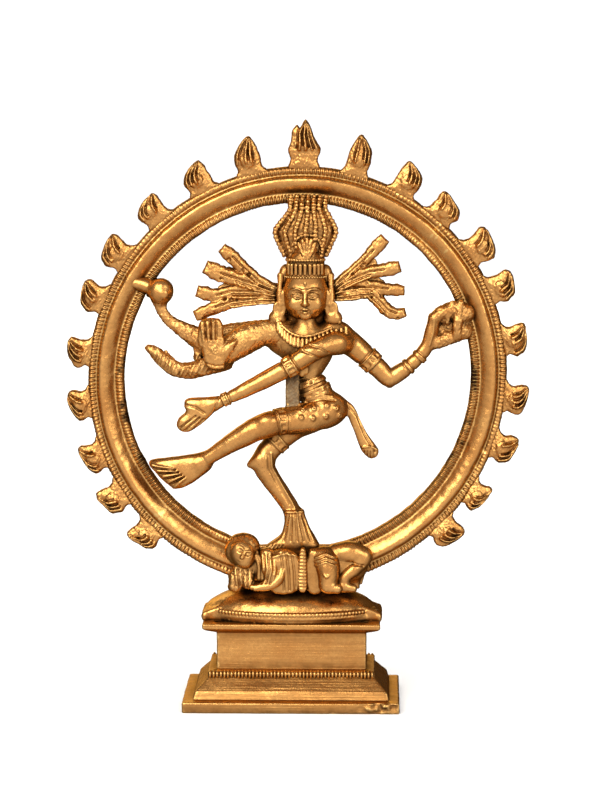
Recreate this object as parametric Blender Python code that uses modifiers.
"""Brass dancing figure in a ring of flames, on a hollow stepped pedestal.

Lengths are in millimetres and turn into Blender's metres where meshes are made.
The object faces -Y, +X is the viewer's right, and it stands on Z = 0.
"""

import math

import bmesh
import bpy
import numpy as np
from mathutils import Matrix, Vector

MM = 0.001
GAP = 0.3
ROUND_ANGLE = math.radians(40)

# Pedestal: a stepped block of rectangles, widened from its plain middle (the dado).
PEDESTAL_X = -1.4
DADO_LENGTH = 37.5
DADO_DEPTH = 17.2
PLINTH_OUT = 8.9
PEDESTAL_TOP = 22.0
TOP_PLATE = 2.6
WALL = 2.2
PEG_SPACING = 18.0
PEG_RADIUS = 2.0
PEG_HEAD_RADIUS = 3.1
PEG_HEAD = 1.4

# Lotus seat: an oval cushion on the pedestal.
SEAT_HALF_LENGTH = 23.1
SEAT_HALF_DEPTH = 12.6
SEAT_TOP = 29.9

# Ring of fire.
RING_X = -0.3
RING_Z = 84.3
RING_INNER = 44.4
RING_OUTER = 53.7
RING_BACK = 1.6
RING_STEPS = 80
RING_FOOT_X = -0.6
RING_FOOT_HALF = 17.0
RING_FOOT_DEEP = 1.2

# Flames stand round the rim at these angles from +X, set by hand and so a little uneven.
FLAME_ANGLES = [-46, -33.5, -19, -5.5, 10, 24, 35.5, 48.5, 60.5, 74, 88]
FLAME_ANGLES += [102.5, 116.5, 131, 145.5, 158.5, 173.5, 187.5, 202, 214, 226.5]
FLAME_WIDTH = 7.4
FLAME_HEIGHT = 5.5
FLAME_THICK = 2.4
FLAME_LEAN = 2.0
TOP_ANGLE = 88
TOP_FLAME_WIDTH = 8.4
TOP_FLAME_HEIGHT = 11.3
TALLER_BY = 3.9
TALLER_WITHIN = 33.0

# Figure: its middle plane lies a little in front of the ring.
FIGURE_Y = -3.5
HEAD_X = 2.1
HEAD_Z = 105.3
HAIR_Y = -1.8
HAIR_RADIUS = 1.45
DWARF_Y = -5.8

COLOURS = {
    "polished": (0.72, 0.42, 0.12, 1.0),
    "brushed": (0.66, 0.40, 0.13, 1.0),
    "cast": (0.60, 0.36, 0.13, 1.0),
}
ROUGHNESS = {"polished": 0.28, "brushed": 0.36, "cast": 0.48}


def clear_scene():
    for old in list(bpy.data.objects):
        bpy.data.objects.remove(old, do_unlink=True)


def new_collection(name):
    made = bpy.data.collections.new(name)
    bpy.context.scene.collection.children.link(made)
    return made


clear_scene()
PARTS = new_collection("nataraja_statue")
CUTTERS = new_collection("cutters")
CLEARANCES = {}


# ---------------------------------------------------------------- helpers


def brass(name, finish):
    material = bpy.data.materials.new(name)
    material.use_nodes = True
    shader = material.node_tree.nodes["Principled BSDF"]
    shader.inputs["Base Color"].default_value = COLOURS[finish]
    shader.inputs["Metallic"].default_value = 1.0
    shader.inputs["Roughness"].default_value = ROUGHNESS[finish]
    return material


def new_object(name, mesh, collection=PARTS):
    obj = bpy.data.objects.new(name, mesh)
    collection.objects.link(obj)
    return obj


def mesh_from(bm, name):
    bmesh.ops.recalc_face_normals(bm, faces=bm.faces)
    mesh = bpy.data.meshes.new(name)
    bm.to_mesh(mesh)
    bm.free()
    return mesh


def evaluated_mesh(obj):
    bpy.context.view_layer.update()
    graph = bpy.context.evaluated_depsgraph_get()
    return bpy.data.meshes.new_from_object(obj.evaluated_get(graph))


def baked(obj):
    """The object with its modifiers applied, its points welded and its faces turned outwards."""
    bm = bmesh.new()
    bm.from_mesh(evaluated_mesh(obj))
    bm.transform(obj.matrix_world)
    bmesh.ops.remove_doubles(bm, verts=bm.verts, dist=0.002 * MM)
    name = obj.name
    home = obj.users_collection[0]
    bpy.data.objects.remove(obj, do_unlink=True)
    return new_object(name, mesh_from(bm, name), home)


def finished(obj, finish="polished"):
    """Gives a piece its own brass and its smooth shading."""
    obj.data.materials.clear()
    obj.data.materials.append(brass(obj.name + "_brass", finish))
    obj.data.shade_smooth()
    obj.data.set_sharp_from_angle(angle=ROUND_ANGLE)


def as_cutter(obj):
    for home in list(obj.users_collection):
        home.objects.unlink(obj)
    CUTTERS.objects.link(obj)
    obj.hide_render = True
    obj.display_type = "WIRE"
    return obj


def boolean(obj, other, operation):
    modifier = obj.modifiers.new(operation.lower(), "BOOLEAN")
    modifier.operation = operation
    modifier.solver = "EXACT"
    modifier.object = other
    return baked(obj)


def fused(name, pieces):
    """One solid from several overlapping ones."""
    whole = pieces[0]
    for piece in pieces[1:]:
        whole = boolean(whole, piece, "UNION")
        bpy.data.objects.remove(piece, do_unlink=True)
    whole.name = name
    whole.data.name = name
    return whole


def add_clearance(obj):
    """Keeps a cutter for the neighbours: this shape with its surface moved out by the gap."""
    bm = bmesh.new()
    bm.from_mesh(evaluated_mesh(obj))
    bm.normal_update()
    moves = [v.normal * GAP * MM * min(v.calc_shell_factor(), 2.0) for v in bm.verts]
    for vertex, move in zip(bm.verts, moves):
        vertex.co += move
    name = obj.name + "_clearance"
    CLEARANCES[obj.name] = as_cutter(new_object(name, mesh_from(bm, name)))
    return obj


def clear_of(obj, *neighbours):
    """Trims a piece so that it keeps the gap to these earlier neighbours."""
    add_clearance(obj)
    for name in neighbours:
        obj = boolean(obj, CLEARANCES[name], "DIFFERENCE")
    return obj


def smooth_path(points, steps):
    """Points and radii on a Catmull-Rom curve through (x, y, z, radius) points."""
    knots = np.array(points, float)
    knots = np.vstack([2 * knots[0] - knots[1], knots, 2 * knots[-1] - knots[-2]])
    found = []
    for i in range(1, len(knots) - 2):
        before, start, end, after = knots[i - 1 : i + 3]
        for t in np.arange(steps) / steps:
            found.append(
                0.5
                * (
                    2 * start
                    + (end - before) * t
                    + (2 * before - 5 * start + 4 * end - after) * t**2
                    + (3 * start - before - 3 * end + after) * t**3
                )
            )
    found.append(knots[-2])
    return np.array(found)


def round_end(path, at_start):
    """The few shrinking rings that round off one end of a tube."""
    end, inner = (path[0], path[1]) if at_start else (path[-1], path[-2])
    along = end[:3] - inner[:3]
    along = along / np.linalg.norm(along)
    rings = []
    for turn in (0.45, 0.8):
        angle = turn * math.pi / 2
        place = end[:3] + along * end[3] * math.sin(angle)
        rings.append(np.append(place, end[3] * math.cos(angle)))
    return np.array(rings[::-1] if at_start else rings)


def limb(name, points, steps=3, depth=1.0, ends="both"):
    """A tapering round tube through (x, y, z, radius) points, flattened in Y by depth."""
    path = smooth_path(points, steps)
    if ends in ("both", "start"):
        path = np.vstack([round_end(path, True), path])
    if ends in ("both", "end"):
        path = np.vstack([path, round_end(path, False)])
    curve = bpy.data.curves.new(name, "CURVE")
    curve.dimensions = "3D"
    curve.bevel_depth = MM
    curve.bevel_resolution = 2
    curve.use_fill_caps = True
    spline = curve.splines.new("POLY")
    spline.points.add(len(path) - 1)
    middle = path[:, 1].mean()
    for point, (x, y, z, radius) in zip(spline.points, path):
        point.co = (x * MM, (y - middle) * MM / depth, z * MM, 1)
        point.radius = radius
    obj = new_object(name, curve)
    obj.location = (0, middle * MM, 0)
    obj.scale = (1, depth, 1)
    bpy.context.view_layer.update()
    return baked(obj)


def plate(name, outline, y_front, thickness):
    """A flat outline of (x, z) points, standing upright."""
    curve = bpy.data.curves.new(name, "CURVE")
    curve.dimensions = "2D"
    curve.fill_mode = "BOTH"
    curve.extrude = thickness / 2 * MM
    spline = curve.splines.new("POLY")
    spline.points.add(len(outline) - 1)
    spline.use_cyclic_u = True
    for point, (x, z) in zip(spline.points, outline):
        point.co = (x * MM, z * MM, 0, 1)
    obj = new_object(name, curve)
    obj.rotation_euler = (math.pi / 2, 0, 0)
    obj.location = (0, (y_front + thickness / 2) * MM, 0)
    bpy.context.view_layer.update()
    return baked(obj)


def turned(name, profile, axis, steps, closed):
    """A profile of (radius, height) points, turned about Z or Y."""
    mesh = bpy.data.meshes.new(name)
    places = [(r * MM, 0, h * MM) if axis == "Z" else (r * MM, h * MM, 0) for r, h in profile]
    links = [(i, i + 1) for i in range(len(places) - 1)]
    if closed:
        links.append((len(places) - 1, 0))
    mesh.from_pydata(places, links, [])
    obj = new_object(name, mesh)
    screw = obj.modifiers.new("turn", "SCREW")
    screw.axis = axis
    screw.steps = steps
    screw.render_steps = steps
    screw.use_merge_vertices = True
    screw.merge_threshold = 0.0001
    return baked(obj)


def moved(obj, x=0.0, y=0.0, z=0.0, scale=(1, 1, 1)):
    obj.data.transform(Matrix.Translation(Vector((x, y, z)) * MM) @ Matrix.Diagonal((*scale, 1)))
    return obj


def stepped_block(name, length, depth, profile):
    """A rectangle extruded upwards through (outset, z) steps."""
    bm = bmesh.new()
    bmesh.ops.create_grid(bm, x_segments=1, y_segments=1, size=0.5)
    face = bm.faces[:][0]
    for step, (outset, z) in enumerate(profile):
        if step:
            below = face
            made = bmesh.ops.extrude_face_region(bm, geom=[below])["geom"]
            face = next(item for item in made if isinstance(item, bmesh.types.BMFace))
        if step > 1:
            bmesh.ops.delete(bm, geom=[below], context="FACES_ONLY")
        for vertex in face.verts:
            vertex.co.x = math.copysign(length / 2 + outset, vertex.co.x) * MM
            vertex.co.y = math.copysign(depth / 2 + outset, vertex.co.y) * MM
            vertex.co.z = z * MM
    return new_object(name, mesh_from(bm, name))


def cylinder(name, x, y, z_low, z_high, radius, segments=20):
    bm = bmesh.new()
    bmesh.ops.create_cone(
        bm,
        cap_ends=True,
        segments=segments,
        radius1=radius * MM,
        radius2=radius * MM,
        depth=(z_high - z_low) * MM,
        matrix=Matrix.Translation(Vector((x, y, (z_low + z_high) / 2)) * MM),
    )
    return new_object(name, mesh_from(bm, name))


def ball(name, place, radii, segments=16):
    bm = bmesh.new()
    bmesh.ops.create_uvsphere(
        bm,
        u_segments=segments,
        v_segments=segments // 2 + 1,
        radius=MM,
        matrix=Matrix.Translation(Vector(place) * MM) @ Matrix.Diagonal((*radii, 1)),
    )
    return new_object(name, mesh_from(bm, name))


# ---------------------------------------------------------------- pedestal and seat

PEG_PLACES = [PEDESTAL_X - PEG_SPACING / 2, PEDESTAL_X + PEG_SPACING / 2]


def make_pedestal():
    """Plinth, sloping moulding, bead band, dado and cornice, cast hollow and open below."""
    outside = [
        (PLINTH_OUT, 0),
        (PLINTH_OUT, 2.7),
        (6.1, 3.3),
        (5.7, 4.9),
        (2.6, 7.9),
        (2.6, 9.6),
        (0, 9.9),
        (0, 19.2),
        (3.1, 20.3),
        (3.75, 20.8),
        (3.75, PEDESTAL_TOP),
    ]
    inside = [
        (6.2, -1.0),
        (6.2, 1.2),
        (-WALL, 9.4),
        (-WALL, PEDESTAL_TOP - TOP_PLATE),
    ]
    pedestal = stepped_block("pedestal", DADO_LENGTH, DADO_DEPTH, outside)
    hollow = stepped_block("pedestal_hollow", DADO_LENGTH, DADO_DEPTH, inside)
    pedestal = boolean(pedestal, as_cutter(hollow), "DIFFERENCE")
    pedestal = moved(pedestal, x=PEDESTAL_X)
    for side, x in zip(("left", "right"), PEG_PLACES):
        low = PEDESTAL_TOP - TOP_PLATE - 1
        hole = cylinder("peg_hole_" + side, x, 0, low, PEDESTAL_TOP + 1, PEG_RADIUS + GAP)
        pedestal = boolean(pedestal, as_cutter(hole), "DIFFERENCE")
    finished(pedestal, "brushed")


def make_seat():
    """Oval cushion with two cast pegs, whose ends are hammered into heads inside the pedestal."""
    low = PEDESTAL_TOP + GAP
    profile = [
        (0, SEAT_TOP),
        (7.4, SEAT_TOP - 0.1),
        (9.6, SEAT_TOP - 0.8),
        (11.1, SEAT_TOP - 2.2),
        (11.9, SEAT_TOP - 3.7),
        (11.7, SEAT_TOP - 4.7),
        (SEAT_HALF_DEPTH, low + 2.2),
        (SEAT_HALF_DEPTH - 0.1, low + 1.3),
        (11.8, low),
        (0, low),
    ]
    seat = turned("lotus_seat", profile, "Z", 40, False)
    seat = moved(seat, x=PEDESTAL_X, scale=(SEAT_HALF_LENGTH / SEAT_HALF_DEPTH, 1, 1))
    under = PEDESTAL_TOP - TOP_PLATE - GAP
    pieces = [seat]
    for x in PEG_PLACES:
        pieces.append(cylinder("peg", x, 0, under - PEG_HEAD / 2, low + 1, PEG_RADIUS))
        pieces.append(cylinder("peg_head", x, 0, under - PEG_HEAD, under, PEG_HEAD_RADIUS))
    finished(add_clearance(fused("lotus_seat", pieces)))


# ---------------------------------------------------------------- ring and flames


def make_ring():
    """Flat-backed band with two beaded edges, a rounded middle moulding and a foot below."""
    profile = [
        (RING_INNER, RING_BACK),
        (RING_INNER, -0.7),
        (RING_INNER + 0.5, -1.2),
        (RING_INNER + 1.9, -1.2),
        (RING_INNER + 2.5, -0.5),
        (RING_INNER + 3.1, -1.3),
        (RING_INNER + 5.2, -2.3),
        (RING_INNER + 6.6, -1.6),
        (RING_INNER + 7.1, -0.8),
        (RING_INNER + 7.6, -1.2),
        (RING_OUTER - 0.5, -1.2),
        (RING_OUTER, -0.7),
        (RING_OUTER, RING_BACK),
    ]
    ring = moved(turned("ring", profile, "Y", RING_STEPS, True), x=RING_X, z=RING_Z)
    low = SEAT_TOP + GAP
    high = RING_Z - RING_INNER - RING_FOOT_DEEP
    bm = bmesh.new()
    middle = Vector((RING_FOOT_X, 0.2, (low + high) / 2)) * MM
    size = Matrix.Diagonal((2 * RING_FOOT_HALF, 2.2, high - low, 1))
    bmesh.ops.create_cube(bm, size=MM, matrix=Matrix.Translation(middle) @ size)
    foot = new_object("foot", mesh_from(bm, "foot"))
    inside = RING_INNER + 0.6
    disc = [(0, 3), (inside, 3), (inside, -3), (0, -3)]
    window = as_cutter(turned("ring_window", disc, "Y", RING_STEPS, False))
    moved(window, x=RING_X, z=RING_Z)
    foot = boolean(foot, window, "DIFFERENCE")
    finished(add_clearance(fused("ring", [ring, foot])))


def flame_outline(width, height, lean):
    """A leaf from its foot up one side to the tip and down the other; the tip leans by lean."""
    rises = np.linspace(0, 1, 8)
    half = width / 2 * np.sin(math.pi * (0.22 + 0.78 * rises)) ** 0.8
    middle = lean * rises**2
    left = list(zip(middle - half, rises * height))
    right = list(zip(middle + half, rises * height))
    return left[:-1] + [(lean, height)] + right[-2::-1]


def make_flames():
    """Leaf-shaped flames round the rim, taller towards the large one at the top."""
    for i, degrees in enumerate(FLAME_ANGLES):
        from_top = (degrees - TOP_ANGLE) / TALLER_WITHIN
        width = FLAME_WIDTH
        height = FLAME_HEIGHT + TALLER_BY * math.exp(-(from_top**2))
        if degrees == TOP_ANGLE:
            width, height = TOP_FLAME_WIDTH, TOP_FLAME_HEIGHT
        angle = math.radians(degrees)
        outline = flame_outline(width, height, -FLAME_LEAN * math.cos(angle))
        flame = plate(f"flame_{i + 1:02d}", outline, -FLAME_THICK / 2, FLAME_THICK)
        spin = Matrix.Rotation(math.pi / 2 - angle, 4, "Y")
        place = Vector((math.cos(angle), 0, math.sin(angle))) * (RING_OUTER + GAP)
        place += Vector((RING_X, 0, RING_Z))
        flame.data.transform(Matrix.Translation(place * MM) @ spin)
        finished(flame, "cast")


# ---------------------------------------------------------------- dwarf under the foot


def make_dwarf_body():
    """The small figure lying on the seat in front of the ring's foot, head to the left."""
    body = limb(
        "dwarf_body",
        [
            (-10.0, DWARF_Y, 35.9, 5.0),
            (-3.0, DWARF_Y, 36.0, 5.6),
            (5.0, DWARF_Y, 36.0, 5.6),
            (11.0, DWARF_Y, 36.3, 5.2),
            (14.5, DWARF_Y, 37.0, 3.8),
        ],
        depth=0.5,
    )
    finished(clear_of(body, "lotus_seat", "ring"))


def make_dwarf_head():
    head = ball("dwarf_head", (-13.8, -8.0, 39.6), (3.7, 3.2, 4.1))
    finished(clear_of(head, "dwarf_body"))


def make_dwarf_arms():
    front = limb(
        "dwarf_arm_front",
        [
            (-5.0, -8.2, 39.0, 2.5),
            (-3.2, -9.4, 35.5, 2.1),
            (-5.6, -10.2, 32.6, 1.7),
            (-9.8, -10.5, 31.4, 1.1),
        ],
    )
    finished(clear_of(front, "dwarf_body", "lotus_seat"))
    back = limb(
        "dwarf_arm_back",
        [(-13.5, -6.6, 35.0, 2.0), (-15.6, -6.6, 32.9, 1.8), (-16.0, -6.8, 31.6, 1.3)],
    )
    finished(clear_of(back, "dwarf_body", "dwarf_head", "lotus_seat"))


def make_dwarf_strap():
    """The end of the dwarf's waist cloth, hanging over its side."""
    strap = limb(
        "dwarf_strap",
        [(1.3, -9.6, 40.0, 1.2), (1.4, -9.9, 35.5, 1.2), (1.5, -10.1, 31.2, 1.3)],
        depth=0.6,
    )
    finished(clear_of(strap, "dwarf_body", "lotus_seat"))


def make_dwarf_legs():
    front = limb(
        "dwarf_leg_front",
        [(5.8, -8.0, 38.6, 2.6), (7.4, -9.4, 35.6, 2.5), (7.2, -9.9, 31.9, 1.7)],
    )
    finished(clear_of(front, "dwarf_body", "lotus_seat"))
    thigh = limb(
        "thigh",
        [(11.4, -6.8, 39.8, 2.6), (14.6, -6.8, 40.2, 2.8), (17.4, -6.6, 39.4, 2.4)],
    )
    shin = limb(
        "shin",
        [(17.2, -6.8, 38.0, 1.7), (14.8, -7.4, 35.0, 1.7), (13.0, -7.8, 31.9, 1.5)],
    )
    back = fused("dwarf_leg_back", [thigh, shin])
    finished(clear_of(back, "dwarf_body", "dwarf_leg_front", "ring", "lotus_seat"))


# ---------------------------------------------------------------- dancing figure


def make_torso():
    torso = limb(
        "torso",
        [
            (5.4, FIGURE_Y, 77.6, 4.2),
            (4.3, FIGURE_Y, 80.6, 3.6),
            (3.2, FIGURE_Y, 84.5, 3.1),
            (2.9, FIGURE_Y, 88.5, 5.4),
            (2.6, FIGURE_Y, 92.5, 7.6),
            (2.4, FIGURE_Y, 95.6, 7.6),
            (2.3, FIGURE_Y, 98.0, 3.6),
            (2.2, FIGURE_Y, 100.4, 2.5),
        ],
        steps=2,
        depth=0.6,
        ends="none",
    )
    finished(add_clearance(torso))


def make_pelvis():
    pelvis = limb(
        "pelvis",
        [
            (12.0, -3.8, 76.4, 1.9),
            (9.4, -4.2, 75.8, 3.7),
            (5.6, -4.8, 75.2, 3.6),
            (1.6, -5.8, 73.6, 3.3),
        ],
        depth=0.9,
        ends="start",
    )
    finished(clear_of(pelvis, "torso"))


def make_head():
    head = ball("head", (HEAD_X, -4.0, HEAD_Z), (5.5, 4.5, 6.5), 20)
    finished(clear_of(head, "torso"))


def make_diadem():
    diadem = limb(
        "diadem",
        [(HEAD_X, -4.1, 110.4, 5.8), (HEAD_X, -4.0, 113.1, 5.9)],
        depth=0.8,
        ends="none",
    )
    finished(clear_of(diadem, "head"))


def make_headdress():
    """Tall piled locks, widest half-way up, running into the top of the ring."""
    headdress = limb(
        "headdress",
        [
            (2.0, -3.6, 113.4, 5.5),
            (2.0, -3.6, 116.5, 6.4),
            (2.1, -3.4, 121.3, 7.9),
            (2.8, -3.2, 125.6, 5.9),
            (3.0, -3.0, 129.4, 4.6),
            (3.0, -3.0, 130.8, 4.4),
        ],
        steps=2,
        depth=0.45,
        ends="none",
    )
    finished(clear_of(headdress, "head", "diadem", "ring"))


def make_earrings():
    for side, direction in (("left", -1), ("right", 1)):
        x = HEAD_X + direction * 6.7
        earring = limb(
            "earring_" + side,
            [
                (x, -4.2, 110.0, 0.9),
                (x + 0.5 * direction, -4.4, 106.5, 1.0),
                (x + 0.6 * direction, -4.6, 103.0, 1.4),
            ],
        )
        finished(clear_of(earring, "head", "torso", "diadem"))


def hair_fan(name, root_x, strands):
    """A flat fan of locks that flies out from behind the head."""
    pieces = []
    for i, strand in enumerate(strands):
        root = (root_x, HAIR_Y, HEAD_Z + 1.1 - 0.4 * i, HAIR_RADIUS)
        points = [root] + [(x, HAIR_Y, z, HAIR_RADIUS) for x, z in strand]
        pieces.append(limb(f"strand_{i}", points, depth=0.7))
    finished(clear_of(fused(name, pieces), "head"), "cast")


def make_hair():
    hair_fan(
        "hair_left",
        HEAD_X - 6.1,
        [
            [(-8.0, 107.4), (-13.4, 112.0), (-17.6, 116.6)],
            [(-9.0, 107.0), (-16.0, 109.0), (-22.0, 112.0)],
            [(-9.0, 105.4), (-17.0, 104.8), (-24.6, 106.0)],
            [(-9.0, 104.6), (-18.0, 103.2), (-25.4, 100.6)],
        ],
    )
    hair_fan(
        "hair_right",
        HEAD_X + 6.1,
        [
            [(10.8, 108.0), (16.6, 113.2), (21.0, 119.0)],
            [(11.6, 107.4), (18.0, 110.8), (24.8, 112.2)],
            [(11.8, 106.0), (19.0, 107.8), (26.6, 107.0)],
            [(11.8, 105.4), (20.6, 106.0), (22.8, 102.2), (26.6, 101.4)],
        ],
    )


def make_arm_front_left():
    """Crosses the chest and points down at the raised foot."""
    arm = limb(
        "arm",
        [
            (9.6, -5.5, 92.8, 2.6),
            (6.0, -8.6, 92.0, 2.5),
            (1.6, -10.0, 89.2, 2.4),
            (-7.3, -10.2, 84.6, 2.1),
            (-15.0, -9.8, 80.9, 1.7),
            (-19.0, -9.4, 78.9, 1.4),
            (-22.4, -9.2, 77.6, 1.6),
        ],
    )
    hand = plate(
        "hand",
        [
            (-19.5, 80.2),
            (-28.2, 79.4),
            (-28.0, 77.2),
            (-30.2, 74.6),
            (-29.4, 71.9),
            (-26.6, 71.8),
            (-23.4, 74.4),
            (-19.0, 78.2),
        ],
        -10.4,
        2.6,
    )
    finished(clear_of(fused("arm_front_left", [arm, hand]), "torso"))


def make_arm_front_right():
    """Raised with an open palm."""
    arm = limb(
        "arm",
        [
            (-4.6, -5.2, 94.2, 3.2),
            (-10.0, -6.2, 93.6, 3.2),
            (-16.0, -7.2, 91.0, 2.8),
            (-20.6, -7.6, 89.4, 2.2),
        ],
    )
    hand = plate(
        "hand",
        [
            (-23.2, 87.4),
            (-20.0, 87.0),
            (-15.2, 93.2),
            (-15.0, 94.8),
            (-18.4, 94.2),
            (-18.8, 100.8),
            (-24.8, 100.8),
            (-24.4, 93.0),
        ],
        -9.0,
        2.4,
    )
    finished(clear_of(fused("arm_front_right", [arm, hand]), "torso"))


def make_arm_rear_left():
    """Bent up at the elbow, holding the flame against the ring."""
    arm = limb(
        "arm_rear_left",
        [
            (8.6, -2.9, 95.4, 2.9),
            (13.2, -2.7, 92.9, 2.7),
            (18.2, -2.4, 88.6, 2.3),
            (23.2, -2.0, 84.6, 2.2),
            (27.9, -1.8, 86.8, 1.8),
            (30.7, -1.7, 89.3, 1.8),
            (33.4, -1.6, 93.6, 2.0),
            (34.8, -1.6, 98.6, 1.7),
        ],
    )
    finished(clear_of(arm, "torso", "arm_front_left"))


def make_arm_rear_right():
    """Held out to the side, holding the small drum against the ring."""
    arm = limb(
        "arm_rear_right",
        [
            (-3.5, -2.6, 95.4, 2.6),
            (-12.0, -2.2, 96.2, 2.2),
            (-20.0, -2.0, 95.6, 2.0),
            (-26.0, -1.8, 95.8, 1.9),
            (-31.0, -1.7, 98.0, 1.7),
            (-34.6, -1.6, 101.4, 1.6),
            (-35.0, -1.6, 104.4, 1.7),
        ],
        ends="start",
    )
    finished(clear_of(arm, "torso", "arm_front_right", "drum"))


def make_palm_flame():
    flame = limb(
        "palm_flame",
        [(38.6, -1.4, 94.6, 2.0), (39.0, -1.4, 98.6, 3.0), (40.2, -1.4, 103.4, 1.0)],
        depth=0.8,
    )
    finished(clear_of(flame, "ring", "arm_rear_left"))


def make_drum():
    body = ball("body", (-35.1, -1.6, 106.0), (3.1, 2.9, 3.1))
    lug = limb("lug", [(-36.5, -1.2, 106.3, 1.3), (-39.6, -0.9, 106.9, 1.3)], ends="none")
    finished(clear_of(fused("drum", [body, lug]), "ring"))


def make_cobra():
    """The snake round the front right arm, its neck curling out to the left."""
    cobra = limb(
        "cobra",
        [
            (-20.4, -4.4, 88.8, 2.3),
            (-25.4, -4.0, 87.4, 2.2),
            (-29.4, -3.9, 86.2, 2.0),
            (-33.4, -3.8, 88.0, 2.0),
            (-36.8, -3.4, 91.6, 1.6),
        ],
    )
    finished(clear_of(cobra, "arm_front_right"))


def make_leg_raised():
    leg = limb(
        "leg",
        [
            (3.2, -5.4, 74.0, 2.6),
            (-0.6, -6.8, 73.1, 3.1),
            (-3.2, -7.7, 73.1, 3.0),
            (-6.6, -8.4, 73.1, 2.8),
            (-12.3, -8.8, 70.5, 2.5),
            (-17.4, -8.4, 67.7, 2.0),
            (-22.3, -7.7, 64.4, 1.7),
            (-25.0, -7.4, 62.3, 1.8),
        ],
    )
    foot = plate(
        "foot",
        [
            (-22.0, 65.2),
            (-36.2, 63.8),
            (-37.2, 62.6),
            (-36.5, 60.9),
            (-32.4, 56.9),
            (-30.2, 56.4),
            (-24.0, 59.5),
            (-21.0, 62.6),
        ],
        -8.8,
        3.0,
    )
    finished(clear_of(fused("leg_raised", [leg, foot]), "pelvis"))


def make_leg_standing():
    leg = limb(
        "leg",
        [
            (3.2, -4.6, 71.8, 3.4),
            (-2.4, -4.8, 69.9, 3.0),
            (-7.0, -5.2, 66.4, 2.9),
            (-8.9, -5.4, 63.0, 2.9),
            (-6.4, -5.2, 58.2, 2.0),
            (-4.2, -5.0, 54.6, 1.8),
            (-1.5, -5.0, 49.9, 1.8),
            (-0.4, -5.0, 46.4, 2.5),
            (0.4, -5.0, 43.9, 2.6),
        ],
        ends="start",
    )
    foot = limb("foot", [(3.4, -5.0, 43.4, 1.5), (-1.0, -5.6, 43.6, 1.9), (-6.0, -6.6, 43.0, 1.2)])
    finished(clear_of(fused("leg_standing", [leg, foot]), "pelvis", "leg_raised", "dwarf_body"))


def make_necklace():
    necklace = limb(
        "necklace",
        [
            (-4.0, -7.3, 97.6, 0.7),
            (-1.6, -8.7, 95.2, 0.7),
            (2.2, -9.2, 94.2, 0.7),
            (5.6, -9.0, 96.0, 0.7),
            (8.0, -7.6, 97.8, 0.7),
        ],
        steps=4,
    )
    finished(clear_of(necklace, "torso", "arm_front_left", "arm_front_right"))


def make_sash():
    sash = limb(
        "sash",
        [
            (12.2, -4.2, 77.0, 1.3),
            (14.4, -4.2, 75.0, 1.2),
            (16.5, -4.2, 70.6, 1.4),
            (18.5, -4.2, 66.0, 1.7),
        ],
        depth=0.7,
    )
    finished(clear_of(sash, "pelvis"), "cast")


def make_strut():
    """A casting strut that ties the raised thigh to the forearm above it."""
    strut = limb(
        "strut",
        [(-1.7, -6.4, 75.2, 1.35), (-1.7, -6.8, 80.0, 1.35), (-1.7, -7.4, 86.6, 1.35)],
        ends="none",
    )
    strut = clear_of(strut, "pelvis", "leg_raised", "arm_front_left", "torso")
    finished(strut, "cast")


# ---------------------------------------------------------------- the whole object

make_pedestal()
make_seat()
make_ring()
make_flames()
make_dwarf_body()
make_dwarf_head()
make_dwarf_arms()
make_dwarf_strap()
make_dwarf_legs()
make_torso()
make_pelvis()
make_head()
make_diadem()
make_headdress()
make_earrings()
make_hair()
make_arm_front_left()
make_arm_front_right()
make_arm_rear_left()
make_drum()
make_arm_rear_right()
make_palm_flame()
make_cobra()
make_leg_raised()
make_leg_standing()
make_necklace()
make_sash()
make_strut()
